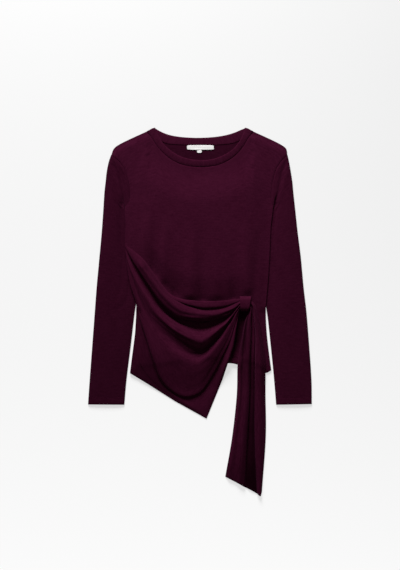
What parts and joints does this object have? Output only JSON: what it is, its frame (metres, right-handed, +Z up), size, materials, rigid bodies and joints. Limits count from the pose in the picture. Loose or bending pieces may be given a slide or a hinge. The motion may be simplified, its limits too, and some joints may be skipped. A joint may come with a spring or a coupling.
{
  "type": "t-shirt",
  "caption": "Long-sleeved crew-neck jersey top laid flat, with a cowl panel draped across the front, drawn through a loop at the hip and ending in a tail.",
  "frame": {"origin": "centre of the bounding box on the surface that the top lies on", "axes": "+X to the right seen from above, +Y from hem to neck, +Z up out of the front"},
  "size_m": [0.5369, 0.8837, 0.0239],
  "materials": {
    "jersey": "matt, finely brushed knit",
    "woven_label": "satin weave"
  },
  "bodies": {
    "root": {"back": "jersey", "front": "jersey", "sleeve_left": "jersey", "sleeve_right": "jersey", "neckband": "jersey", "drape": "jersey", "tail": "jersey", "loop": "jersey", "neck_label": "woven_label", "size_tag": "woven_label"}
  },
  "joints": []
}
